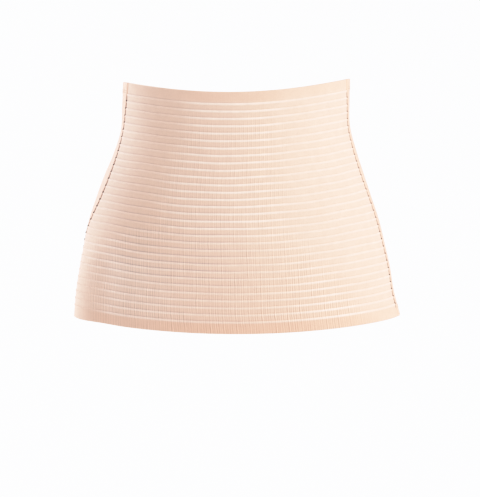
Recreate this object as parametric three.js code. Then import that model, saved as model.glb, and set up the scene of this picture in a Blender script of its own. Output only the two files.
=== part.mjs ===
// A postpartum belt, closed as it is worn: a wide front panel of ribbed elastic, sewn at a seam on each side
// to plain back wings that lap over each other at the centre back, with a hook-and-loop pad between them.
// Millimetres, +Z up, front at -Y, with the origin in the middle of the hollow at half height.
import * as THREE from "three";

// Cloth of the front panel.
const ribCount = 31;
const ribPitch = 7.2;
const ribBaseWidth = 2.2;
const ribCrestWidth = 1.1;
const ribRise = 0.6;
const borderHeight = 12;
const panelThickness = 1.8;
const edgeRound = 0.5;
const beltHeight = (ribCount - 1) * ribPitch + 2 * borderHeight;

// Cloth of the back wings and the pad between them.
const wingThickness = 1.6;
const hemHeight = 12;
const hemRise = 0.5;
const hemSlope = 1;
const padThickness = 1.4;
const layerGap = 0.35;
const lapRise = wingThickness + padThickness + 2 * layerGap;

// Angles round the body in degrees, from the centre of the front. The edges are highest at dipReach.
const centreBack = 180;
const lapAngle = 16;
const lapRampAngle = 14;
const lapRampMargin = 2;
const padAngle = 13;
const seamGapAngle = 0.25;
const dipReach = 75;

// How far the middle of the back hangs below the sides.
const backDip = 18;

// Steps round the body.
const frontSteps = 22;
const wingSteps = 20;
const padSteps = 8;

// The worn shape, one row for each tenth of the height from the top edge down. halfWidth, frontDepth and
// backDepth are the half axes of the outer face, sway moves the section sideways and tilt raises its right
// side with the wearer's stance, frontDip is how far the middle of the front hangs below the sides, and the
// seams are angles in degrees.
const sectionColumns = [
  "halfWidth", "frontDepth", "backDepth", "sway", "tilt", "frontDip", "leftSeam", "rightSeam",
];
const sectionRows = [
  [115.5, 84, 80, 2.5, 0.9, 7.2, 71, 74],
  [116, 86, 81, 1.5, 0.95, 7.3, 72.5, 76],
  [117, 88.5, 84, 1, 0.95, 7, 76, 77],
  [123.8, 91, 90, 0.3, 0.7, 7, 74, 76],
  [132.5, 93.5, 98, -1, 0.5, 8, 72, 76],
  [141, 96, 106, -1.5, 0.1, 8, 74, 77.5],
  [149, 97.5, 113, -1.5, -0.1, 8, 80.5, 78],
  [154.5, 98, 119, -1, -0.3, 7.5, 91, 79],
  [159.5, 97.5, 123, -0.5, -0.5, 7, 96, 79.5],
  [163.5, 96, 125.5, -0.5, -0.4, 6.5, 98, 79.5],
  [168, 94, 126.5, 1.5, -0.7, 5.5, 98.5, 80],
];
const sections = sectionRows.map((row) =>
  Object.fromEntries(sectionColumns.map((column, place) => [column, row[place]])),
);
const sectionPitch = beltHeight / (sections.length - 1);
const plainRowPitch = sectionPitch / 2;

const elasticMaterial = new THREE.MeshStandardMaterial({ color: 0xe9cdb9, roughness: 0.85, metalness: 0 });
const wingMaterial = new THREE.MeshStandardMaterial({ color: 0xf2dac6, roughness: 0.75, metalness: 0 });
const padMaterial = new THREE.MeshStandardMaterial({ color: 0xe6cbb6, roughness: 0.95, metalness: 0 });

// One column of the table at a distance below the top edge, smoothed through the rows by a Catmull-Rom curve
// whose ends run on straight.
function sectionValue(column, drop) {
  const last = sections.length - 1;
  const place = THREE.MathUtils.clamp(drop / sectionPitch, 0, last);
  const row = Math.min(Math.floor(place), last - 1);
  const u = place - row;
  const p1 = sections[row][column];
  const p2 = sections[row + 1][column];
  const p0 = row > 0 ? sections[row - 1][column] : 2 * p1 - p2;
  const p3 = row + 2 <= last ? sections[row + 2][column] : 2 * p2 - p1;
  const slope1 = (p2 - p0) / 2;
  const slope2 = (p3 - p1) / 2;
  const bend = 2 * (p1 - p2) + slope1 + slope2;
  return p1 + u * (slope1 + u * (3 * (p2 - p1) - 2 * slope1 - slope2 + u * bend));
}

// A point of the belt: drop below the top edge, angle round the body, and distance out of the outer face.
function beltPoint(drop, angle, out) {
  const turn = THREE.MathUtils.degToRad(angle);
  const halfWidth = sectionValue("halfWidth", drop);
  const halfDepth = sectionValue(Math.cos(turn) > 0 ? "frontDepth" : "backDepth", drop);
  const across = Math.sin(turn);
  const ahead = Math.cos(turn);
  const normal = new THREE.Vector2(across / halfWidth, -ahead / halfDepth).normalize();
  const reach = Math.min(Math.abs(angle) / dipReach, 1);
  const sideRise = sectionValue("frontDip", drop) * Math.sin((reach * Math.PI) / 2) ** 2;
  const tiltRise = sectionValue("tilt", drop) * across;
  const behind = Math.max(Math.abs(angle) - dipReach, 0) / (centreBack - dipReach);
  const backFall = backDip * Math.sin((behind * Math.PI) / 2) ** 2;
  return new THREE.Vector3(
    sectionValue("sway", drop) + halfWidth * across + out * normal.x,
    -halfDepth * ahead + out * normal.y,
    beltHeight / 2 - drop + sideRise + tiltRise - backFall,
  );
}

// Triangles across a cut end of a cloth, as a ladder down from its outer rows to its inner rows. The numbers
// are places in the closed profile: the outer rows from the top, then the inner rows from the bottom.
function endLadder(outerRows, innerRows) {
  const triangles = [];
  const innerPlace = (j) => outerRows.length + innerRows.length - 1 - j;
  let i = 0;
  let j = 0;
  while (i < outerRows.length - 1 || j < innerRows.length - 1) {
    const nextOuter = outerRows[i + 1]?.drop ?? Infinity;
    const nextInner = innerRows[j + 1]?.drop ?? Infinity;
    if (nextOuter <= nextInner) {
      triangles.push([i + 1, i, innerPlace(j)]);
      i++;
    } else {
      triangles.push([innerPlace(j), innerPlace(j + 1), i]);
      j++;
    }
  }
  return triangles;
}

// A closed solid: rows of drops and outs carried round the body in steps, with a ladder on each end.
// angleAt gives the angle at a share of the way and a drop, and lift an extra distance out at an angle.
function sweptCloth({ outerRows, innerRows }, steps, angleAt, lift = () => 0) {
  const profile = [...outerRows, ...innerRows.toReversed()];
  const count = profile.length;
  const positions = [];
  const faces = [];
  for (let step = 0; step <= steps; step++) {
    for (const { drop, out } of profile) {
      const angle = angleAt(step / steps, drop);
      positions.push(...beltPoint(drop, angle, out + lift(angle)).toArray());
    }
  }
  for (let step = 0; step < steps; step++) {
    for (let i = 0; i < count; i++) {
      const next = (i + 1) % count;
      const here = step * count;
      const beyond = here + count;
      faces.push(here + i, here + next, beyond + i);
      faces.push(here + next, beyond + next, beyond + i);
    }
  }
  const end = steps * count;
  for (const [a, b, c] of endLadder(outerRows, innerRows)) {
    faces.push(a, b, c);
    faces.push(end + a, end + c, end + b);
  }
  const geometry = new THREE.BufferGeometry();
  geometry.setAttribute("position", new THREE.Float32BufferAttribute(positions, 3));
  geometry.setIndex(faces);
  geometry.computeVertexNormals();
  return geometry;
}

// A plain face between two drops, from the top down, with evenly spaced rows.
function plainRows(top, bottom, out) {
  const rows = [];
  for (let drop = top; drop <= bottom; drop += plainRowPitch) {
    rows.push({ drop, out });
  }
  return rows;
}

// Front panel in profile: a rounded top edge, the plain border, the ribs, the lower border and edge.
function frontProfile() {
  const outerRows = [{ drop: 0, out: -edgeRound }, { drop: edgeRound, out: 0 }];
  for (let i = 0; i < ribCount; i++) {
    const middle = borderHeight + i * ribPitch;
    outerRows.push({ drop: middle - ribBaseWidth / 2, out: 0 });
    outerRows.push({ drop: middle - ribCrestWidth / 2, out: ribRise });
    outerRows.push({ drop: middle + ribCrestWidth / 2, out: ribRise });
    outerRows.push({ drop: middle + ribBaseWidth / 2, out: 0 });
  }
  outerRows.push({ drop: beltHeight - edgeRound, out: 0 }, { drop: beltHeight, out: -edgeRound });
  return { outerRows, innerRows: plainRows(0, beltHeight, -panelThickness) };
}

// Back wing in profile: a folded hem along each edge and plain cloth between them.
function wingProfile() {
  const outerRows = [
    { drop: 0, out: 0 },
    { drop: edgeRound, out: hemRise },
    { drop: hemHeight - hemSlope, out: hemRise },
    ...plainRows(hemHeight, beltHeight - hemHeight, 0),
    { drop: beltHeight - hemHeight + hemSlope, out: hemRise },
    { drop: beltHeight - edgeRound, out: hemRise },
    { drop: beltHeight, out: 0 },
  ];
  return { outerRows, innerRows: plainRows(0, beltHeight, -wingThickness) };
}

// Pad in profile: plain, one section short of each edge.
function padProfile() {
  const top = sectionPitch;
  const bottom = beltHeight - sectionPitch;
  return {
    outerRows: plainRows(top, bottom, layerGap + padThickness),
    innerRows: plainRows(top, bottom, layerGap),
  };
}

// How far the upper wing is lifted to pass over the lower one, at an angle on its own side.
function lapLift(angle) {
  const rampEnd = centreBack - lapAngle - lapRampMargin;
  return lapRise * THREE.MathUtils.smoothstep(Math.abs(angle), rampEnd - lapRampAngle, rampEnd);
}

function frontPanel() {
  const angleAt = (share, drop) =>
    THREE.MathUtils.lerp(-sectionValue("leftSeam", drop), sectionValue("rightSeam", drop), share);
  return sweptCloth(frontProfile(), frontSteps, angleAt);
}

// The upper wing, from past the centre back to the left seam.
function leftWing() {
  const angleAt = (share, drop) =>
    THREE.MathUtils.lerp(-centreBack - lapAngle, -sectionValue("leftSeam", drop) - seamGapAngle, share);
  return sweptCloth(wingProfile(), wingSteps, angleAt, lapLift);
}

// The lower wing, from the right seam to past the centre back.
function rightWing() {
  const angleAt = (share, drop) =>
    THREE.MathUtils.lerp(sectionValue("rightSeam", drop) + seamGapAngle, centreBack + lapAngle, share);
  return sweptCloth(wingProfile(), wingSteps, angleAt);
}

function closurePad() {
  const angleAt = (share) => centreBack + THREE.MathUtils.lerp(-padAngle, padAngle, share);
  return sweptCloth(padProfile(), padSteps, angleAt);
}

function namedMesh(name, geometry, material) {
  const mesh = new THREE.Mesh(geometry, material);
  mesh.name = name;
  return mesh;
}

const belt = new THREE.Group();
belt.add(
  namedMesh("front_panel", frontPanel(), elasticMaterial),
  namedMesh("back_wing_left", leftWing(), wingMaterial),
  namedMesh("back_wing_right", rightWing(), wingMaterial),
  namedMesh("back_closure", closurePad(), padMaterial),
);

export default belt;
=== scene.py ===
# Looks of the postpartum belt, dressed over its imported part. Shapes are worked out in millimetres.
import bpy
import numpy as np
from mathutils import Matrix, Vector


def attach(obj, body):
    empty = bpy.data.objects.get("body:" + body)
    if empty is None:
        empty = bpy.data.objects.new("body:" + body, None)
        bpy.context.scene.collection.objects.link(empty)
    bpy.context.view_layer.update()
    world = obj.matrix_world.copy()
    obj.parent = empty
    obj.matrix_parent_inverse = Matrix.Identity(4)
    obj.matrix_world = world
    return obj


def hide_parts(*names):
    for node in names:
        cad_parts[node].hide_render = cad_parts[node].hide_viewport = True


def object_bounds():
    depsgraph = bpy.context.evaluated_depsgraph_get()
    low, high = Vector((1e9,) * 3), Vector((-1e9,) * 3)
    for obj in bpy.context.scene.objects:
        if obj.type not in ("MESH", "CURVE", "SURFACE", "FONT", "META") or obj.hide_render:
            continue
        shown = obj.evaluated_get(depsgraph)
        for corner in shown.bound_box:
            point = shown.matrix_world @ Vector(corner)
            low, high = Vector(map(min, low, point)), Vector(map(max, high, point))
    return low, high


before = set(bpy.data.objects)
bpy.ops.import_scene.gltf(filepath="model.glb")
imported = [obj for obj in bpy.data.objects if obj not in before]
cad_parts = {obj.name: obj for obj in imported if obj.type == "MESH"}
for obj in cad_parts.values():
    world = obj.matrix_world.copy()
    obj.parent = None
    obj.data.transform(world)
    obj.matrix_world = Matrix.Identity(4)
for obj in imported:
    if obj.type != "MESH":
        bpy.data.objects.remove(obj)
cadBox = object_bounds()
print("frame loaded:", ", ".join(sorted(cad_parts)))

millimetre = 0.001
centreBack = 180.0     # degrees round from the centre front

# the worn shape, one value for each tenth of the height from the top edge down: half axes of the outer face,
# its shift sideways, the rise of its right side, the dip of its middle front, and the seams
beltForm = {
    "height": 240.0,
    "halfWidth": (115.5, 116, 117, 123.8, 132.5, 141, 149, 154.5, 159.5, 163.5, 168),
    "frontDepth": (84, 86, 88.5, 91, 93.5, 96, 97.5, 98, 97.5, 96, 94),
    "backDepth": (80, 81, 84, 90, 98, 106, 113, 119, 123, 125.5, 126.5),
    "sway": (2.5, 1.5, 1, 0.3, -1, -1.5, -1.5, -1, -0.5, -0.5, 1.5),
    "tilt": (0.9, 0.95, 0.95, 0.7, 0.5, 0.1, -0.1, -0.3, -0.5, -0.4, -0.7),
    "frontDip": (7.2, 7.3, 7, 7, 8, 8, 8, 7.5, 7, 6.5, 5.5),
    "leftSeam": (71, 72.5, 76, 74, 72, 74, 80.5, 91, 96, 98, 98.5),     # degrees round
    "rightSeam": (74, 76, 77, 76, 76, 77.5, 78, 79, 79.5, 79.5, 80),
    "dipReach": 75.0,     # degrees at which the edges are highest
    "backDip": 18.0,
    "seamGap": 0.1,       # degrees between the cloths at a seam
}


# one column of the form at some drops: a Catmull-Rom curve through its values, straight on at the ends
def formAt(column, drop):
    values = np.array(beltForm[column], float)
    knots = np.concatenate([[2 * values[0] - values[1]], values, [2 * values[-1] - values[-2]]])
    last = len(values) - 1
    place = np.clip(np.asarray(drop, float) / beltForm["height"] * last, 0, last)
    row = np.minimum(place.astype(int), last - 1)
    u = place - row
    p0, p1, p2, p3 = (knots[row + k] for k in range(4))
    slope1 = (p2 - p0) / 2
    slope2 = (p3 - p1) / 2
    bend = 2 * (p1 - p2) + slope1 + slope2
    return p1 + u * (slope1 + u * (3 * (p2 - p1) - 2 * slope1 - slope2 + u * bend))


# points of the belt: an ellipse at each drop, pushed out along its normal, raised towards the sides by a
# sine square over the front, tilted, and lowered towards the centre back by another sine square
def beltSurface(drop, angle, out):
    drop, angle, out = np.broadcast_arrays(drop, angle, out)
    across = np.sin(np.radians(angle))
    ahead = np.cos(np.radians(angle))
    halfWidth = formAt("halfWidth", drop)
    halfDepth = np.where(ahead > 0, formAt("frontDepth", drop), formAt("backDepth", drop))
    normal = np.stack([across / halfWidth, -ahead / halfDepth])
    normal /= np.linalg.norm(normal, axis=0)
    reach = np.minimum(np.abs(angle) / beltForm["dipReach"], 1)
    rise = formAt("frontDip", drop) * np.sin(reach * np.pi / 2) ** 2
    behind = np.maximum(np.abs(angle) - beltForm["dipReach"], 0) / (centreBack - beltForm["dipReach"])
    fall = beltForm["backDip"] * np.sin(behind * np.pi / 2) ** 2
    x = formAt("sway", drop) + halfWidth * across + out * normal[0]
    y = -halfDepth * ahead + out * normal[1]
    z = beltForm["height"] / 2 - drop + rise + formAt("tilt", drop) * across - fall
    return np.stack([x, y, z], -1)


# outward normals of the belt at some drops and angles: the way a point goes when it is pushed out
def beltNormal(drop, angle):
    step = beltSurface(drop, angle, 1.0) - beltSurface(drop, angle, 0.0)
    return step / np.linalg.norm(step, axis=-1, keepdims=True)


# an S curve from 0 at low to 1 at high: the cubic 3u2 - 2u3
def smoothStep(value, low, high):
    u = np.clip((value - low) / (high - low), 0, 1)
    return u * u * (3 - 2 * u)


# a bell curve, 1 at its middle: e to the minus square of the distance over the reach
def bellCurve(value, middle, reach):
    return np.exp(-((value - middle) / reach) ** 2)


# distances along each row of a grid of points, from its first column: the sum of the steps
def rowLengths(grid):
    steps = np.linalg.norm(np.diff(grid, axis=1), axis=-1)
    return np.concatenate([np.zeros((len(grid), 1)), np.cumsum(steps, axis=1)], axis=1)


clothMargin = 0.3      # metres along a flat cloth at its upright thread, so that no place is negative


# flat cloth places in metres: the distance along each row from the thread that runs straight down, freed of
# the row's stretch, and the drop
def clothPlaces(along, thread, drop, stretch=1.0):
    along = (along - thread) / stretch * millimetre + clothMargin
    down = np.broadcast_to(drop * millimetre, along.shape)
    return np.stack([along, down], -1)


# faces of a closed cloth: the outer grid, the inner grid turned round, and a strip round the rim
def shellFaces(rows, columns):
    index = np.arange(rows * columns).reshape(rows, columns)
    outer = np.stack([index[:-1, :-1], index[1:, :-1], index[1:, 1:], index[:-1, 1:]], -1).reshape(-1, 4)
    rim = np.concatenate([index[:, 0], index[-1, 1:], index[-2::-1, -1], index[0, -2:0:-1]])
    onward = np.roll(rim, -1)
    inner = outer[:, ::-1] + index.size
    strip = np.stack([onward, rim, rim + index.size, onward + index.size], -1)
    return np.concatenate([outer, inner, strip])


# one object from points in millimetres and four-sided faces, with optional uv and vertex shares
def addPiece(name, points, faces, material, uv=None, shares=None):
    mesh = bpy.data.meshes.new(name)
    mesh.vertices.add(len(points))
    mesh.vertices.foreach_set("co", (points * millimetre).astype(np.float32).ravel())
    mesh.loops.add(faces.size)
    mesh.loops.foreach_set("vertex_index", faces.astype(np.int32).ravel())
    mesh.polygons.add(len(faces))
    mesh.polygons.foreach_set("loop_start", np.arange(0, faces.size, 4, dtype=np.int32))
    mesh.polygons.foreach_set("use_smooth", np.ones(len(faces), bool))
    mesh.update(calc_edges=True)
    if uv is not None:
        layer = mesh.uv_layers.new(name="cloth")
        layer.data.foreach_set("uv", uv[faces.ravel()].astype(np.float32).ravel())
    for shareName, values in (shares or {}).items():
        share = mesh.attributes.new(shareName, "FLOAT", "POINT")
        share.data.foreach_set("value", values.astype(np.float32))
    mesh.materials.append(material)
    piece = bpy.data.objects.new(name, mesh)
    bpy.context.scene.collection.objects.link(piece)
    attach(piece, "root")
    return piece


# a closed cloth from its outer and inner grids of points, with the same cloth places and shares on both
def addCloth(name, outer, inner, material, places=None, shares=None):
    rows, columns = outer.shape[:2]
    points = np.concatenate([outer.reshape(-1, 3), inner.reshape(-1, 3)])
    uv = None if places is None else np.tile(places.reshape(-1, 2), (2, 1))
    onBoth = {}
    for shareName, values in (shares or {}).items():
        onBoth[shareName] = np.tile(np.broadcast_to(values, (rows, columns)).ravel(), 2)
    print(name + ":", len(points), "points")
    return addPiece(name, points, shellFaces(rows, columns), material, uv, onBoth)


# a node with its settings and its inputs, each input a fixed value or another node's output
def addNode(tree, kind, inputs=None, **settings):
    node = tree.nodes.new("ShaderNode" + kind)
    for key, value in settings.items():
        setattr(node, key, value)
    for socket, value in (inputs or {}).items():
        if isinstance(value, bpy.types.NodeSocket):
            tree.links.new(value, node.inputs[socket])
        else:
            node.inputs[socket].default_value = value
    return node


# maths on fixed values and outputs
def addMath(tree, operation, *values):
    return addNode(tree, "Math", dict(enumerate(values)), operation=operation).outputs[0]


# two colours mixed by a share: a colour mix takes them at 6 and 7 and gives the result at 2
def addMix(tree, share, first, second):
    node = addNode(tree, "Mix", {0: share, 6: first, 7: second}, data_type="RGBA")
    return node.outputs[2]


# a vertex share by its name
def addShare(tree, name):
    return addNode(tree, "Attribute", attribute_name=name).outputs["Fac"]


# noise between 0 and 1
def addNoise(tree, place, scale, detail):
    return addNode(tree, "TexNoise", {"Vector": place, "Scale": scale, "Detail": detail}).outputs[0]


# a sine along a flat cloth, one wave for each pitch in metres
def addWave(tree, along, pitch):
    return addMath(tree, "SINE", addMath(tree, "MULTIPLY", along, 2 * np.pi / pitch))


# a new material with its fixed sockets set, its nodes and its shader
def newMaterial(name, fixed):
    material = bpy.data.materials.new(name)
    material.use_nodes = True
    shader = material.node_tree.nodes["Principled BSDF"]
    for socket, value in fixed.items():
        shader.inputs[socket].default_value = value
    return material, material.node_tree, shader


# colour times shade on the shader's base colour, and a height as its bump
def linkCloth(tree, shader, colour, shade, height, strength, distance):
    tinted = addNode(tree, "VectorMath", {0: colour, 1: shade}, operation="MULTIPLY").outputs[0]
    tree.links.new(tinted, shader.inputs["Base Color"])
    bump = addNode(tree, "Bump", {"Height": height, "Strength": strength, "Distance": distance})
    tree.links.new(bump.outputs[0], shader.inputs["Normal"])


ribbedElastic = {
    "band": (0.745, 0.53, 0.43, 1),
    "bandShade": (0.69, 0.44, 0.333, 1),      # a deeper band colour, painted shade
    "bandWarm": (0.70, 0.467, 0.36, 1),      # in clouds all over
    "border": (0.665, 0.395, 0.285, 1),
    "rib": (0.85, 0.635, 0.54, 1),
    # painted shade in the grooves above the ribs: a darker, greyer colour
    "grooveShade": (0.42, 0.31, 0.29, 1),
    "weftPitch": 0.00193,       # metres between the fine upright ribs in the flat cloth
    "weftWaves": {"pairShare": 2.0, "threeShare": 1.5},     # their longer waves in pitches, by vertex share
    "weftShade": 0.08,
    "weftRise": 0.4,            # height of the fine ribs against that of the yarn
    # each noise: scale, detail
    "patchNoise": (85.0, 1.0),  # the fine ribs come and go in patches
    "patchDepth": 3.0,
    "patchShift": 0.0012,       # metres they wander sideways there
    "ribCover": 0.5,            # how much of the fine ribs the rib yarn covers
    "lumpNoise": (120.0, 1.0),  # the cloth is a little uneven, its ribs twice as much
    "lumpShade": 0.1,
    "yarnNoise": (900.0, 2.0),
    "yarnShade": 0.16,
    "cloudNoise": (45.0, 3.0),
    "bump": (0.6, 0.00022),     # strength, metres
    "fixed": {"Roughness": 0.82, "Sheen Weight": 0.12, "Sheen Roughness": 0.5, "Specular IOR Level": 0.25},
}


# beige bands and pale ribs by the vertex shares, with painted shade in the grooves and a deeper band colour
# painted as shade; the fine upright ribs are a sum of three sines along the cloth, which wander sideways and
# come and go with a noise
def ribbedElasticMaterial():
    look = ribbedElastic
    material, tree, shader = newMaterial("ribbedElastic", look["fixed"])
    uv = addNode(tree, "UVMap", uv_map="cloth").outputs[0]
    along = addNode(tree, "SeparateXYZ", {0: uv}).outputs[0]
    place = addNode(tree, "TexCoord").outputs["Object"]
    ribShare = addShare(tree, "ribShare")
    yarn = addNoise(tree, place, *look["yarnNoise"])
    cloud = addNoise(tree, place, *look["cloudNoise"])
    patches = addNoise(tree, place, *look["patchNoise"])
    along = addMath(tree, "MULTIPLY_ADD", patches, look["patchShift"], along)
    weft = addWave(tree, along, look["weftPitch"])
    for shareName, pitches in look["weftWaves"].items():
        wave = addWave(tree, along, pitches * look["weftPitch"])
        weft = addMath(tree, "MULTIPLY_ADD", wave, addShare(tree, shareName), weft)
    weft = addMath(tree, "MULTIPLY", weft, addShare(tree, "weftShare"))
    patches = addMath(tree, "MULTIPLY_ADD", patches, look["patchDepth"], 1.0 - look["patchDepth"] / 2)
    weft = addMath(tree, "MULTIPLY", weft, addMath(tree, "MAXIMUM", patches, 0.0))
    bare = addMath(tree, "MULTIPLY_ADD", ribShare, -look["ribCover"], 1.0)
    weft = addMath(tree, "MULTIPLY", weft, bare)
    # the deeper band colour is painted shade, reaching furthest on the upper left and thinning towards the
    # sides
    cloth = addMix(tree, addShare(tree, "bandShadeShare"), look["band"], look["bandShade"])
    cloth = addMix(tree, cloud, cloth, look["bandWarm"])
    cloth = addMix(tree, addShare(tree, "borderShare"), cloth, look["border"])
    cloth = addMix(tree, ribShare, cloth, look["rib"])
    # painted shade in the grooves above the ribs
    cloth = addMix(tree, addShare(tree, "grooveShadeShare"), cloth, look["grooveShade"])
    # shades stay 1 on average: half of each noise's depth is taken off
    shade = addMath(tree, "MULTIPLY_ADD", weft, look["weftShade"], 1.0 - look["yarnShade"] / 2)
    shade = addMath(tree, "MULTIPLY_ADD", yarn, look["yarnShade"], shade)
    lumps = addNoise(tree, place, *look["lumpNoise"])
    lumps = addMath(tree, "MULTIPLY_ADD", lumps, look["lumpShade"], -look["lumpShade"] / 2)
    shade = addMath(tree, "MULTIPLY_ADD", lumps, addMath(tree, "ADD", ribShare, 1.0), shade)
    height = addMath(tree, "MULTIPLY_ADD", weft, look["weftRise"], yarn)
    linkCloth(tree, shader, cloth, shade, height, *look["bump"])
    return material


smoothKnit = {
    "pale": (0.77, 0.49, 0.37, 1),
    "warm": (0.71, 0.43, 0.315, 1),
    "walePitch": 0.0026,
    "coursePitch": 0.0014,
    "courseShare": 0.35,
    "loopShade": 0.06,
    "cloudNoise": (30.0, 3.0),
    "bump": (0.4, 0.0002),
    "fixed": {"Roughness": 0.7, "Sheen Weight": 0.2, "Sheen Roughness": 0.4, "Specular IOR Level": 0.3},
}


# smooth knit: upright wales as a sine along the cloth, crossed by closer, shallower courses
def smoothKnitMaterial():
    look = smoothKnit
    material, tree, shader = newMaterial("smoothKnit", look["fixed"])
    uv = addNode(tree, "UVMap", uv_map="cloth").outputs[0]
    split = addNode(tree, "SeparateXYZ", {0: uv})
    place = addNode(tree, "TexCoord").outputs["Object"]
    wales = addWave(tree, split.outputs[0], look["walePitch"])
    courses = addWave(tree, split.outputs[1], look["coursePitch"])
    loops = addMath(tree, "MULTIPLY_ADD", courses, look["courseShare"], wales)
    cloth = addMix(tree, addNoise(tree, place, *look["cloudNoise"]), look["pale"], look["warm"])
    shade = addMath(tree, "MULTIPLY_ADD", loops, look["loopShade"], 1.0)
    linkCloth(tree, shader, cloth, shade, loops, *look["bump"])
    return material


loopPile = {
    # painted shade in the pile's low places; its tips lighter
    "deepShade": (0.60, 0.43, 0.33, 1),
    "tip": (0.80, 0.62, 0.50, 1),
    "tuftNoise": (260.0, 2.0),
    "tuftShade": 0.3,
    "pileNoise": (1400.0, 3.0),
    "bump": (0.8, 0.0004),
    "fixed": {"Roughness": 0.95, "Sheen Weight": 0.4, "Sheen Roughness": 0.6, "Specular IOR Level": 0.15},
}


# brushed loops of the closing pad: fine noise for the pile, its low places painted darker as shade, shaded by
# coarser tufts
def loopPileMaterial():
    look = loopPile
    material, tree, shader = newMaterial("loopPile", look["fixed"])
    place = addNode(tree, "TexCoord").outputs["Object"]
    pile = addNoise(tree, place, *look["pileNoise"])
    tufts = addNoise(tree, place, *look["tuftNoise"])
    shade = addMath(tree, "MULTIPLY_ADD", tufts, look["tuftShade"], 1.0 - look["tuftShade"] / 2)
    loops = addMix(tree, pile, look["deepShade"], look["tip"])
    linkCloth(tree, shader, loops, shade, pile, *look["bump"])
    return material


sewingThread = {
    "seamRun": (0.33, 0.21, 0.16, 1),
    "seamKnot": (0.035, 0.026, 0.022, 1),
    "hem": (0.56, 0.385, 0.285, 1),
    "plyNoise": (2600.0, 2.0),
    "plyShade": 0.5,
    "bump": (0.5, 0.0001),
    "fixed": {"Roughness": 0.6, "Sheen Weight": 0.15, "Specular IOR Level": 0.35},
}


# twisted thread: one colour for its runs and another for its knots, mottled by the noise of its ply
def threadMaterial(name, run, knot):
    look = sewingThread
    material, tree, shader = newMaterial(name, look["fixed"])
    place = addNode(tree, "TexCoord").outputs["Object"]
    ply = addNoise(tree, place, *look["plyNoise"])
    colour = addMix(tree, addShare(tree, "knotShare"), run, knot)
    shade = addMath(tree, "MULTIPLY_ADD", ply, look["plyShade"], 1.0 - look["plyShade"] / 2)
    linkCloth(tree, shader, colour, shade, ply, *look["bump"])
    return material


looks = {
    "ribbedElastic": ribbedElasticMaterial(),
    "smoothKnit": smoothKnitMaterial(),
    "loopPile": loopPileMaterial(),
    "seamThread": threadMaterial("seamThread", sewingThread["seamRun"], sewingThread["seamKnot"]),
    "hemThread": threadMaterial("hemThread", sewingThread["hem"], sewingThread["hem"]),
}
print("materials made:", len(looks))

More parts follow.
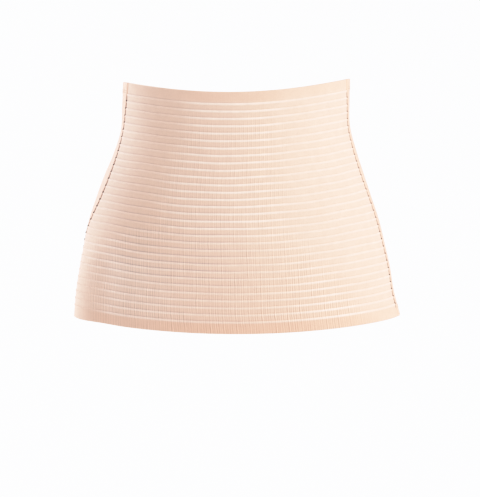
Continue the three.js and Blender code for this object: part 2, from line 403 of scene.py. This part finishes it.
frontCloth = {
    "ribs": 31,
    "pitch": 7.2,
    "border": 12.0,
    "thickness": 1.8,
    "meanWidth": 345.0,          # along the cloth from seam to seam
    "columns": 96,
    "flat": (0.36, 0.24),        # cut slack, wider at its lower edge
    "flatArea": 0.072,
    "spread": 0.135,             # how much more the lower edge is stretched than the upper one
    "edgeSteps": (0, 0.5, 1.0, 1.7, 2.6, 3.8),   # columns next to a seam
    "tuck": 0.6,                 # how deep the cloth turns in at a seam
    "tuckReach": 1.3,
    "innerTuck": 0.3,            # share of the tuck that the inner face follows
    # the ribs' slight unevenness as two waves: height, degrees and drop for a radian, start
    "wobble": ((0.25, 9.0, 31.0, 0.0), (0.175, 4.3, -17.0, 1.0)),
    # below a rib's middle: drop, out, share of rib yarn, share of the groove's painted shade
    "ribProfile": ((-1.9, 0.06, 0, 0.3), (-1.5, 0.0, 0, 0.8), (-1.2, -0.2, 0, 1), (-0.95, 0.0, 0.4, 0.6),
                   (-0.75, 0.28, 1, 0), (-0.35, 0.52, 1, 0), (0.2, 0.56, 1, 0), (0.7, 0.44, 0.9, 0),
                   (1.1, 0.28, 0.5, 0), (1.6, 0.16, 0, 0), (2.6, 0.1, 0, 0), (4.0, 0.12, 0, 0)),
    # from an edge: drop, out, and how far the inner face draws in to meet it
    "borderProfile": ((0, -0.75, 0.4), (0.12, -0.35, 0.15), (0.4, -0.05, 0), (0.9, 0.1, 0), (1.8, 0.08, 0),
                      (3.5, 0.02, 0), (6.0, 0.0, 0), (8.5, 0.0, 0), (9.9, 0.03, 0)),
    # the soft turn low on the left side: drops it comes in at; its swelling and the two hollows beside it as
    # height, middle and reach to the left and right in degrees
    "turnDrops": (145, 195),
    "turnWaves": ((2.2, -72, 13, 13), (-2.8, -55, 9, 10), (-1.7, -30, 16, 45)),
    # where the cloth is stretched open, and where the bands get their deeper colour of painted shade: degrees
    # of the middle;
    # drops, reach to the left and right; degrees over which it fades
    "openMiddle": -5.0,
    "openReach": ((0, 45, 85, 135, 165, 240), (30, 30, 36, 36, 76, 66), (36, 36, 36, 36, 45, 68)),
    "shadeTintReach": ((0, 135, 165, 200, 240), (54, 60, 64, 40, 40), (36, 36, 45, 62, 62)),
    "openFade": 20.0,
    # what shows where it is closed, to the left and to the right
    "closedRib": (0.22, 0.5),
    "closedWeft": (0.12, 0.12),
    "closedShadeTint": (0.41, 0.41),
    "closedBorder": (0.3, 0.6),
    # drops, and the strength there of the ribs, the grooves' painted shade, fine ribs, the bands' painted
    # shade colour and border's colour
    "ribDepth": ((0, 130, 150, 240), (1, 1, 0.75, 0.75)),
    "grooveShadeDepth": ((0, 90, 130, 180, 195, 240), (0.3, 0.3, 0.6, 0.8, 0.45, 0.4)),
    "weftDepth": ((0, 14, 40, 150, 223, 229), (0.1, 0.1, 0.85, 0.85, 1.25, 1.0)),
    "pairDepth": ((0, 130, 190, 240), (0.48, 0.48, 0.3, 0.3)),           # every other fine rib is stronger
    "threeDepth": ((0, 100, 140, 240), (0.12, 0.12, 0.52, 0.52)),        # they repeat in threes low down
    "shadeTintDepth": ((0, 14, 30, 150, 225), (0.6, 0.6, 0.76, 0.76, 0.88)),
    "borderDepth": ((0, 9, 11, 150, 215, 226, 231), (0.45, 0.45, 0, 0, 0.25, 0.3, 1)),
    # drops between which the low front starts, where the ribs lie flatter at the middle and stand up to the
    # right; above it they show more towards the left seam
    "lowDrops": (130, 160),
    "lowMiddle": (0.42, 0, 24),      # share lost, middle and reach in degrees
    "lowRight": (0.3, 15, 40),       # share gained, degrees between which it comes in
    "highLeft": (1.0, -46, -66),
    # a paler stretch low on the left, painted light, with less of the bands' painted shade: drops it comes in
    # at; share, middle and reach in degrees
    "paintedLightDrops": (158, 182),
    "paintedLightStretch": (1.0, -42, 19),
    "paintedLightBorder": 0.35,          # how much of the lower border's colour is taken off there and to the right, painted light
    # a patch of painted shade left of the middle: drop and degrees with their reaches; more of the bands'
    # painted shade colour, less of the ribs
    "shadePatch": (140, 36, -30, 20),
    "shadePatchTint": 0.31,
    "shadePatchRib": 0.24,
    # degrees between which the grooves' painted shade comes in towards the left, away from the key light,
    # and, below some drops, fades again at the seam
    "grooveShadeSide": (14, -10),
    "grooveShadeEdge": (-42, -72),
    "grooveShadeDrops": (80, 130),
    # low on the left side the ribs and the grooves' painted shade die out: drops and degrees between which
    # they do
    "plainDrops": (175, 215),
    "plainSide": (-48, -66),
}


# how far the front stands out low on its left side: bell curves for a swelling and two hollows
def sideTurn(drop, angle):
    out = np.zeros_like(drop * angle)
    for height, middle, leftReach, rightReach in frontCloth["turnWaves"]:
        out = out + height * bellCurve(angle, middle, np.where(angle < middle, leftReach, rightReach))
    return out * smoothStep(drop, *frontCloth["turnDrops"])


# how open the front cloth is, from 0 at its closed sides to 1, and with the other table how far the bands'
# painted shade reaches: an S curve of the angle at each drop
def frontOpening(drop, angle, reachTable):
    drops, leftReach, rightReach = reachTable
    fromMiddle = angle - frontCloth["openMiddle"]
    reach = np.where(fromMiddle < 0, np.interp(drop, drops, leftReach), np.interp(drop, drops, rightReach))
    return 1 - smoothStep(np.abs(fromMiddle), reach - frontCloth["openFade"], reach)


# how much of something shows: all of it where the cloth is open, down to its share where it is closed
def shownShare(angle, closedShares, opened):
    closed = np.where(angle < frontCloth["openMiddle"], *closedShares)
    return closed + (1 - closed) * opened


# the front's vertex shares: strengths by the drop, times S curves and bell curves for the places where the
# ribs, the grooves' painted shade, fine ribs and colours show more or less; the bands' deeper colour is
# painted shade
def frontShares(drop, angle, ribYarn, grooveShade):
    spec = frontCloth
    opened = frontOpening(drop, angle, spec["openReach"])
    # how far the bands' painted shade reaches
    tinted = frontOpening(drop, angle, spec["shadeTintReach"])
    low = smoothStep(drop, *spec["lowDrops"])
    flatter, flatMiddle, flatReach = spec["lowMiddle"]
    higher, *rightReach = spec["lowRight"]
    atEdge, *edgeReach = spec["highLeft"]
    toRight = smoothStep(angle, *rightReach)
    lowRibs = 1 - flatter * bellCurve(angle, flatMiddle, flatReach) + higher * toRight
    highRibs = 1 + atEdge * smoothStep(angle, *edgeReach)
    # the paler stretch low on the left is painted light
    paler, paleMiddle, paleReach = spec["paintedLightStretch"]
    pale = paler * bellCurve(angle, paleMiddle, paleReach) * smoothStep(drop, *spec["paintedLightDrops"])
    # the patch of painted shade left of the middle
    deepDrop, dropReach, deepAngle, angleReach = spec["shadePatch"]
    deepShade = bellCurve(drop, deepDrop, dropReach) * bellCurve(angle, deepAngle, angleReach)
    kept = 1 - smoothStep(drop, *spec["plainDrops"]) * smoothStep(angle, *spec["plainSide"])
    rib = ribYarn * np.interp(drop, *spec["ribDepth"]) * (1 - spec["shadePatchRib"] * deepShade) * kept
    rib = rib * (1 + low * (lowRibs - 1)) * (1 + (1 - low) * (highRibs - 1))
    grooveShadeEdge = smoothStep(angle, *spec["grooveShadeEdge"]) * smoothStep(drop, *spec["grooveShadeDrops"])
    grooveShadeSide = smoothStep(angle, *spec["grooveShadeSide"]) - grooveShadeEdge
    # the bands' painted shade: less in the paler stretch, more in the shade patch
    shadeTint = np.interp(drop, *spec["shadeTintDepth"]) * (1 - pale) * (1 + spec["shadePatchTint"] * deepShade)
    border = np.interp(drop, *spec["borderDepth"])
    # the lower border painted lighter, as light, in the pale stretch and to the right
    border = border * (1 - spec["paintedLightBorder"] * low * np.maximum(pale, toRight))
    return {
        "ribShare": rib * shownShare(angle, spec["closedRib"], opened),
        # the grooves' painted shade, which comes in towards the left
        "grooveShadeShare": grooveShade * np.interp(drop, *spec["grooveShadeDepth"]) * grooveShadeSide * kept,
        "weftShare": np.interp(drop, *spec["weftDepth"]) * shownShare(angle, spec["closedWeft"], opened),
        "pairShare": np.interp(drop, *spec["pairDepth"]),
        "threeShare": np.interp(drop, *spec["threeDepth"]),
        "bandShadeShare": shadeTint * shownShare(angle, spec["closedShadeTint"], tinted),
        "borderShare": border * shownShare(angle, spec["closedBorder"], opened),
    }


# rows of the front from top to bottom: the border, the ribs, and the border upside down
# columns: drop, out, share of rib yarn, share of the groove's painted shade, how far the inner face draws in
def frontRows():
    edge = np.array(frontCloth["borderProfile"])
    plain = np.zeros(len(edge))
    border = np.column_stack([edge[:, 0], edge[:, 1], plain, plain, edge[:, 2]])
    profile = np.column_stack([frontCloth["ribProfile"], np.zeros(len(frontCloth["ribProfile"]))])
    middles = frontCloth["border"] + frontCloth["pitch"] * np.arange(frontCloth["ribs"])
    ribs = np.tile(profile, (len(middles), 1))
    ribs[:, 0] += np.repeat(middles, len(profile))
    lower = border[::-1].copy()
    lower[:, 0] = beltForm["height"] - lower[:, 0]
    ribs = ribs[ribs[:, 0] < lower[0, 0]]
    return np.concatenate([border, ribs, lower])


# the ribbed front: rows carried from seam to seam, wavering by two sines, swelled and hollowed low on
# the left side, and tucked in at both seams by a bell curve
def makeFrontPanel():
    spec = frontCloth
    drop, out, ribYarn, grooveShade, drawIn = np.hsplit(frontRows(), 5)
    left = formAt("leftSeam", drop)
    right = formAt("rightSeam", drop)
    edge = np.array(spec["edgeSteps"]) / spec["meanWidth"]
    middle = np.linspace(edge[-1], 1 - edge[-1], spec["columns"])[1:-1]
    share = np.concatenate([edge, middle, 1 - edge[::-1]])
    angle = -left + (left + right) * share
    fromSeam = np.minimum(share, 1 - share) * spec["meanWidth"]
    tuck = spec["tuck"] * bellCurve(fromSeam, 0, spec["tuckReach"])
    wobble = 0
    for size, turnPitch, dropPitch, start in spec["wobble"]:
        wobble = wobble + size * np.sin(angle / turnPitch + drop / dropPitch + start)
    sunk = drop + wobble * np.sin(np.pi * drop / beltForm["height"])
    turn = sideTurn(drop, angle)
    outer = beltSurface(sunk, angle, out + turn - tuck)
    inner = beltSurface(sunk, angle, turn - spec["thickness"] + drawIn - spec["innerTuck"] * tuck)
    # the thread at the centre front runs straight down
    along = rowLengths(beltSurface(drop, angle, 0.0))
    toFront = rowLengths(beltSurface(drop, -left * np.linspace(1, 0, spec["columns"]), 0.0))[:, -1:]
    places = clothPlaces(along, toFront, drop, 1 + spec["spread"] * drop / beltForm["height"])
    shares = frontShares(drop, angle, ribYarn, grooveShade)
    piece = addCloth("front_cloth", outer, inner, looks["ribbedElastic"], places, shares)
    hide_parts("front_panel")


makeFrontPanel()

wingCloth = {
    "thickness": 1.6,
    "meanWidth": 255.0,          # along the cloth from its seam to its lapped end
    "columns": 84,
    "plainRows": 120,
    "flat": (0.27, 0.24),
    "flatArea": 0.053,
    "lapAngle": 16.0,            # degrees past the centre back
    "ramp": (148.0, 162.0),      # degrees between which the upper wing is lifted
    "lapRise": 3.7,              # over the lower wing, the pad and two gaps
    "roll": (0.35, 3.5, 2.5),    # the swelling beside the seam: height, distance from the seam, width
    "tuck": 0.55,
    "tuckReach": 1.2,
    "innerTuck": 0.3,
    "edgeSteps": (0, 0.5, 1.1, 1.9, 3.0, 4.5, 6.5),
    "endSteps": (3.8, 2.0, 1.0, 0.5, 0),         # columns next to the lapped end
    "endRound": 0.5,
    "innerRound": 0.6,           # share of the rounding that the inner face follows
    # soft creases in the upper back: drop, slope in mm a degree, middle and reach in degrees, height
    "creases": ((42, 0.10, 112, 24, 1.5), (57, 0.13, 119, 30, 2.1), (72, 0.03, 108, 24, 1.7),
                (87, 0.09, 121, 28, 2.2), (103, -0.05, 110, 22, 1.5), (131, 0.06, 116, 24, 1.2)),
    "creaseWidth": 4.2,
    "leftShift": (0.0, 0.0),     # how far a wing's creases are moved: drop, degrees
    "rightShift": (7.0, 4.0),
    "hemRamp": (4.0, 70.0),      # distances from the seam between which the hem's fold rises
    # from an edge: drop, out
    "hemProfile": ((0, -0.5), (0.15, 0.05), (0.5, 0.38), (1.2, 0.5), (4, 0.52), (7, 0.52), (8, 0.48),
                   (9, 0.4), (10, 0.5), (11.2, 0.5), (11.7, 0.3), (12.0, 0.03), (12.6, 0.0), (14, 0.0)),
}
wingEnd = centreBack + wingCloth["lapAngle"]


# soft creases: bell-shaped ridges that slope a little and die out to both sides as a cosine square
def wingCreases(drop, angle, shiftDown, shiftRound):
    height = np.zeros_like(drop * angle)
    for start, slope, middle, reach, rise in wingCloth["creases"]:
        along = angle - middle - shiftRound
        ridge = bellCurve(drop - start - shiftDown - slope * along, 0, wingCloth["creaseWidth"])
        fade = np.cos(np.clip(along / reach, -1, 1) * np.pi / 2) ** 2
        height = height + rise * ridge * fade
    return height


# how much of the hem's fold there is at some angles: an S curve of the distance from the seam
def hemFold(seam, angle):
    share = (angle - seam) / (wingEnd - seam)
    return smoothStep(share * wingCloth["meanWidth"], *wingCloth["hemRamp"])


# how far a wing is lifted at some angles: an S curve up to the lap on the upper wing, none on the lower
def wingLift(angle, lapped):
    if lapped:
        return wingCloth["lapRise"] * smoothStep(angle, *wingCloth["ramp"])
    return np.zeros_like(angle)


# a back wing: hemmed rows carried from its seam to past the centre back, creased, swelled beside the seam and
# tucked in at it by bell curves, with the end rounded by a square and the upper one lifted over the lap
def makeWing(name, node, seamColumn, side, lapped, creaseShift):
    spec = wingCloth
    hem = np.array(spec["hemProfile"])
    lower = hem[::-1].copy()
    lower[:, 0] = beltForm["height"] - lower[:, 0]
    plain = np.linspace(hem[-1, 0], lower[0, 0], spec["plainRows"])[1:-1]
    rows = np.concatenate([hem, np.column_stack([plain, np.zeros(len(plain))]), lower])
    drop, out = np.hsplit(rows, 2)
    seam = formAt(seamColumn, drop) + beltForm["seamGap"]
    edge = np.array(spec["edgeSteps"]) / spec["meanWidth"]
    end = 1 - np.array(spec["endSteps"]) / spec["meanWidth"]
    share = np.concatenate([edge, np.linspace(edge[-1], end[0], spec["columns"])[1:-1], end])
    angle = seam + (wingEnd - seam) * share
    fromSeam = share * spec["meanWidth"]
    fromEnd = (1 - share) * spec["meanWidth"]
    tuck = spec["tuck"] * bellCurve(fromSeam, 0, spec["tuckReach"])
    rollHeight, rollPlace, rollWidth = spec["roll"]
    roll = rollHeight * bellCurve(fromSeam, rollPlace, rollWidth)
    endRound = spec["endRound"] * np.clip(1 - fromEnd / spec["endSteps"][1], 0, 1) ** 2
    middle = wingLift(angle, lapped) + wingCreases(drop, angle, *creaseShift)
    hemOut = np.minimum(out, 0) + np.maximum(out, 0) * hemFold(seam, angle)
    innerOut = spec["innerRound"] * endRound - spec["innerTuck"] * tuck - spec["thickness"]
    outer = beltSurface(drop, side * angle, middle + hemOut + roll - tuck - endRound)
    inner = beltSurface(drop, side * angle, middle + innerOut)
    # the thread along the lapped end runs straight down
    along = rowLengths(outer)
    places = clothPlaces(along, along[:, -1:], drop)
    if side < 0:
        outer, inner, places = outer[:, ::-1], inner[:, ::-1], places[:, ::-1]
    piece = addCloth(name, outer, inner, looks["smoothKnit"], places)
    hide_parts(node)


makeWing("wing_left_cloth", "back_wing_left", "leftSeam", -1, True, wingCloth["leftShift"])
makeWing("wing_right_cloth", "back_wing_right", "rightSeam", 1, False, wingCloth["rightShift"])

closingPad = {
    "gap": 0.35,                 # above the lower wing
    "thickness": 1.4,
    "halfAngle": 13.0,
    "halfWidth": 25.0,           # along the cloth, for the rounding of its edges
    "top": 24.0,
    "bottom": 216.0,
    "flat": (0.07, 0.192),
    "flatArea": 0.0125,
    "edgeSteps": (0, 0.3, 0.8, 1.6, 3.0),
    "rows": 40,
    "columns": 24,
    "rounding": 0.55,
    "roundReach": 0.5,
    "innerRound": 0.4,
}


# the pad between the lapped wings: a plain sheet whose edges are rounded by a bell curve
def makeClosingPad():
    spec = closingPad
    edge = np.array(spec["edgeSteps"])
    plain = np.linspace(spec["top"] + edge[-1], spec["bottom"] - edge[-1], spec["rows"])[1:-1]
    drop = np.concatenate([spec["top"] + edge, plain, spec["bottom"] - edge[::-1]])[:, None]
    side = 1 - edge / spec["halfWidth"]
    turn = np.concatenate([-side, np.linspace(-side[-1], side[-1], spec["columns"])[1:-1], side[::-1]])
    angle = centreBack + spec["halfAngle"] * turn
    fromEnds = np.minimum(drop - spec["top"], spec["bottom"] - drop)
    fromEdge = np.minimum(fromEnds, (1 - np.abs(turn)) * spec["halfWidth"])
    rounding = spec["rounding"] * bellCurve(fromEdge, 0, spec["roundReach"])
    outer = beltSurface(drop, angle, spec["gap"] + spec["thickness"] - rounding)
    inner = beltSurface(drop, angle, spec["gap"] + spec["innerRound"] * rounding)
    piece = addCloth("closing_pad", outer, inner, looks["loopPile"])
    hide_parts("back_closure")


makeClosingPad()

stitchRings = 7
stitchSides = 8
stitchEnd = 0.06       # a stitch narrows at its ends to the root of this share of its radius


# faces of some stitches: rings joined along each one, closed at both ends
def stitchFaces(count):
    index = np.arange(count * stitchRings * stitchSides).reshape(count, stitchRings, stitchSides)
    turned = np.roll(index, -1, axis=2)
    wall = np.stack([index[:, :-1], turned[:, :-1], turned[:, 1:], index[:, 1:]], -1).reshape(-1, 4)
    caps = []
    for k in range(stitchSides // 2 - 1):
        corners = np.array([k, stitchSides - 1 - k, stitchSides - 2 - k, k + 1])
        caps += [index[:, 0, corners], index[:, -1, corners[::-1]]]
    return np.concatenate([wall, *caps])


# stitches: tubes from one point to another, arched up along the cloth's normal by a sine and drawn in at the
# ends by the root of 1 less a fourth power
def stitchPoints(start, end, normal, radius, arch):
    along = np.linspace(0, 1, stitchRings)[None, :, None]
    middle = start[:, None] + (end - start)[:, None] * along
    middle = middle + normal[:, None] * (arch * np.sin(np.pi * along))
    direction = end - start
    direction /= np.linalg.norm(direction, axis=-1, keepdims=True)
    sideways = np.cross(normal, direction)
    sideways /= np.linalg.norm(sideways, axis=-1, keepdims=True)
    upright = np.cross(direction, sideways)
    width = radius * np.sqrt(np.clip(1 - (2 * along - 1) ** 4, stitchEnd, 1))
    turn = np.linspace(0, 2 * np.pi, stitchSides, endpoint=False)[:, None]
    ring = sideways[:, None, None] * np.cos(turn) + upright[:, None, None] * np.sin(turn)
    return (middle[:, :, None] + width[..., None] * ring).reshape(-1, 3)


seamStitch = {
    "leftThread": (0.1, 0.34),   # distance out of the cloth, radius
    "rightThread": (-0.2, 0.55),     # thicker, drawn deeper into the cloth
    "threadArch": 0.15,
    "threadGap": 0.2,
    "threadEnds": (12.0, 232.0),     # drops where the thread starts and stops
    "threadSunk": 0.2,           # how deep it runs below the knots
    "knotRadius": 0.7,
    "knotLength": 1.6,
    "knotArch": 0.2,
    "firstKnot": 1,              # the top rib has none
    "above": 0.9,                # from a rib's middle up to its knot
}


# places and normals along a side seam, at a distance out of the cloth
def seamPlaces(seamColumn, side, drop, out):
    angle = side * (formAt(seamColumn, drop) + beltForm["seamGap"] / 2)
    return beltSurface(drop, angle, out), beltNormal(drop, angle)


# a side seam: a thread run down between the cloths, with a knot in the groove above each rib
def makeSeam(name, seamColumn, side, out, threadRadius):
    spec = seamStitch
    ribs = np.arange(spec["firstKnot"], frontCloth["ribs"])
    knotDrop = frontCloth["border"] + frontCloth["pitch"] * ribs - spec["above"]
    first, last = spec["threadEnds"]
    stops = np.concatenate([[first], knotDrop, [last]])
    half = spec["knotLength"] / 2
    knotStart, knotNormal = seamPlaces(seamColumn, side, knotDrop - half, out)
    knotEnd = seamPlaces(seamColumn, side, knotDrop + half, out)[0]
    runOut = out - spec["threadSunk"]
    runStart, runNormal = seamPlaces(seamColumn, side, stops[:-1] + spec["threadGap"], runOut)
    runEnd = seamPlaces(seamColumn, side, stops[1:] - spec["threadGap"], runOut)[0]
    runs = stitchPoints(runStart, runEnd, runNormal, threadRadius, spec["threadArch"])
    knots = stitchPoints(knotStart, knotEnd, knotNormal, spec["knotRadius"], spec["knotArch"])
    knotShare = np.concatenate([np.zeros(len(runs)), np.ones(len(knots))])
    addPiece(name, np.concatenate([runs, knots]), stitchFaces(len(runStart) + len(knotStart)),
             looks["seamThread"], shares={"knotShare": knotShare})
    print(name + ":", len(knotStart), "knots")


makeSeam("seam_left_stitches", "leftSeam", -1, *seamStitch["leftThread"])
makeSeam("seam_right_stitches", "rightSeam", 1, *seamStitch["rightThread"])

hemStitch = {
    "length": 2.8,
    "gap": 0.9,
    "radius": 0.3,
    "arch": 0.12,
    "rows": (8.0, 10.0),         # from an edge
    "fromSeam": 2.0,             # degrees
    "fromEnd": 1.6,
    "hemOut": 0.5,               # how far the stitches stand out on the hem's fold
    "flatOut": 0.02,             # and on the flat cloth
    "frameIn": (2.0, 1.0),       # the frame inside the pad's edge: drop, degrees
    "samples": 240,
}


# straight stitches along a line of drops and angles, spaced evenly by length
def stitchLine(drop, angle, out):
    drop, angle, out = np.broadcast_arrays(drop, angle, out)
    steps = np.linalg.norm(np.diff(beltSurface(drop, angle, out), axis=0), axis=-1)
    length = np.concatenate([[0], np.cumsum(steps)])
    long, gap = hemStitch["length"], hemStitch["gap"]
    begin = np.arange(gap, length[-1] - long, long + gap)
    ends = []
    for distance in (begin, begin + long):
        place = [np.interp(distance, length, values) for values in (drop, angle, out)]
        ends.append(beltSurface(*place))
    normal = beltNormal(np.interp(begin, length, drop), np.interp(begin, length, angle))
    return stitchPoints(*ends, normal, hemStitch["radius"], hemStitch["arch"])


# twin rows along both hems of a wing, and on the upper wing a row at its end and a frame round the pad
def makeWingStitches(name, seamColumn, side, lapped):
    spec = hemStitch
    span = np.linspace(0, 1, spec["samples"])
    lastTurn = wingEnd - spec["fromEnd"]
    lines = []
    for row in (*spec["rows"], *(beltForm["height"] - r for r in spec["rows"])):
        seam = formAt(seamColumn, row)
        firstTurn = seam + spec["fromSeam"]
        turn = firstTurn + (lastTurn - firstTurn) * span
        out = wingLift(turn, lapped) + spec["hemOut"] * hemFold(seam, turn)
        lines.append(stitchLine(row, side * turn, out))
    if lapped:
        flatOut = wingCloth["lapRise"] + spec["flatOut"]
        inDrop, inTurn = spec["frameIn"]
        top, bottom = closingPad["top"] + inDrop, closingPad["bottom"] - inDrop
        halfTurn = closingPad["halfAngle"] - inTurn
        hem = spec["rows"][-1]
        lines.append(stitchLine(hem + (beltForm["height"] - 2 * hem) * span, side * lastTurn, flatOut))
        for turn in (centreBack - halfTurn, centreBack + halfTurn):
            lines.append(stitchLine(top + (bottom - top) * span, side * turn, flatOut))
        for row in (top, bottom):
            lines.append(stitchLine(row, side * (centreBack + halfTurn * (2 * span - 1)), flatOut))
    points = np.concatenate(lines)
    count = len(points) // (stitchRings * stitchSides)
    addPiece(name, points, stitchFaces(count), looks["hemThread"])
    print(name + ":", count, "stitches")


makeWingStitches("wing_left_stitches", "leftSeam", -1, True)
makeWingStitches("wing_right_stitches", "rightSeam", 1, False)

photoView = {
    "imageWidth": 480,
    "focalPixels": 2255.0,
    "place": (8.4, -2300.0, 258.3),
    "aim": (4.7, 0.0, -46.4),
    "roll": -0.41,               # degrees
    "sensorWidth": 36.0,
    "farthest": 200.0,           # metres
}


# the camera stands where the belt's lines are seen as in the picture
def addCamera():
    view = photoView
    camera = bpy.data.cameras.new("photoCamera")
    camera.sensor_fit = "HORIZONTAL"
    camera.sensor_width = view["sensorWidth"]
    camera.lens = view["focalPixels"] * view["sensorWidth"] / view["imageWidth"]
    camera.clip_end = view["farthest"]
    place = Vector(view["place"]) * millimetre
    forward = (Vector(view["aim"]) * millimetre - place).normalized()
    right = forward.cross(Vector((0, 0, 1))).normalized()
    level = Matrix((right, right.cross(forward), -forward)).transposed().to_4x4()
    roll = Matrix.Rotation(np.radians(view["roll"]), 4, "Z")
    stand = bpy.data.objects.new("photoCamera", camera)
    stand.matrix_world = Matrix.Translation(place) @ level @ roll
    bpy.context.scene.collection.objects.link(stand)
    bpy.context.scene.camera = stand


studio = {
    "floorDrop": 0.55,           # metres below the belt
    "floorSize": 200.0,
    "floorPaint": {"Base Color": (0.93, 0.93, 0.93, 1), "Roughness": 0.9},
    "skyStrength": 0.5,
    # azimuth to the right of the front, elevation, strength, spread in degrees, colour
    "suns": {"key": (61, 35, 3.5, 50, (1, 1, 1)), "rim": (-122, 20, 3.9, 22, (0.89, 0.92, 1))},
    # soft highlights: light in, light shown
    "shoulder": ((0.65, 0.65), (0.85, 0.795), (1.0, 0.865), (1.3, 0.965), (1.7, 1.0)),
}


# a wide pale floor well below the belt
def addFloor():
    half = studio["floorSize"] / 2
    level = cadBox[0].z - studio["floorDrop"]
    corners = [(-half, -half, level), (half, -half, level), (half, half, level), (-half, half, level)]
    mesh = bpy.data.meshes.new("floor")
    mesh.from_pydata(corners, [], [(0, 1, 2, 3)])
    mesh.materials.append(newMaterial("floorPaint", studio["floorPaint"])[0])
    floor = bpy.data.objects.new("floor", mesh)
    bpy.context.scene.collection.objects.link(floor)


# an even white sky, a broad key from the right front and a rim from the left behind
def addLights():
    for name, (azimuth, elevation, strength, spread, colour) in studio["suns"].items():
        light = bpy.data.lights.new(name, "SUN")
        light.energy = strength
        light.color = colour
        light.angle = np.radians(spread)
        a, e = np.radians((azimuth, elevation))
        towards = Vector((np.sin(a) * np.cos(e), -np.cos(a) * np.cos(e), np.sin(e)))
        lamp = bpy.data.objects.new(name, light)
        lamp.rotation_euler = towards.to_track_quat("Z", "Y").to_euler()
        bpy.context.scene.collection.objects.link(lamp)
    world = bpy.data.worlds.new("sky")
    world.use_nodes = True
    sky = world.node_tree.nodes["Background"]
    sky.inputs["Color"].default_value = (1, 1, 1, 1)
    sky.inputs["Strength"].default_value = studio["skyStrength"]
    bpy.context.scene.world = world


# the brightest tones roll off softly instead of clipping, by the curve for all colours, which is number 3
def addShoulder():
    shown = bpy.context.scene.view_settings
    shown.view_transform = "Standard"
    shown.use_curve_mapping = True
    shown.curve_mapping.clip_max_x = studio["shoulder"][-1][0]
    curve = shown.curve_mapping.curves[3]
    curve.points[1].location = studio["shoulder"][-1]
    for lightIn, lightShown in studio["shoulder"][:-1]:
        curve.points.new(lightIn, lightShown)
    shown.curve_mapping.update()


addCamera()
addFloor()
addLights()
addShoulder()
print("camera and studio placed")
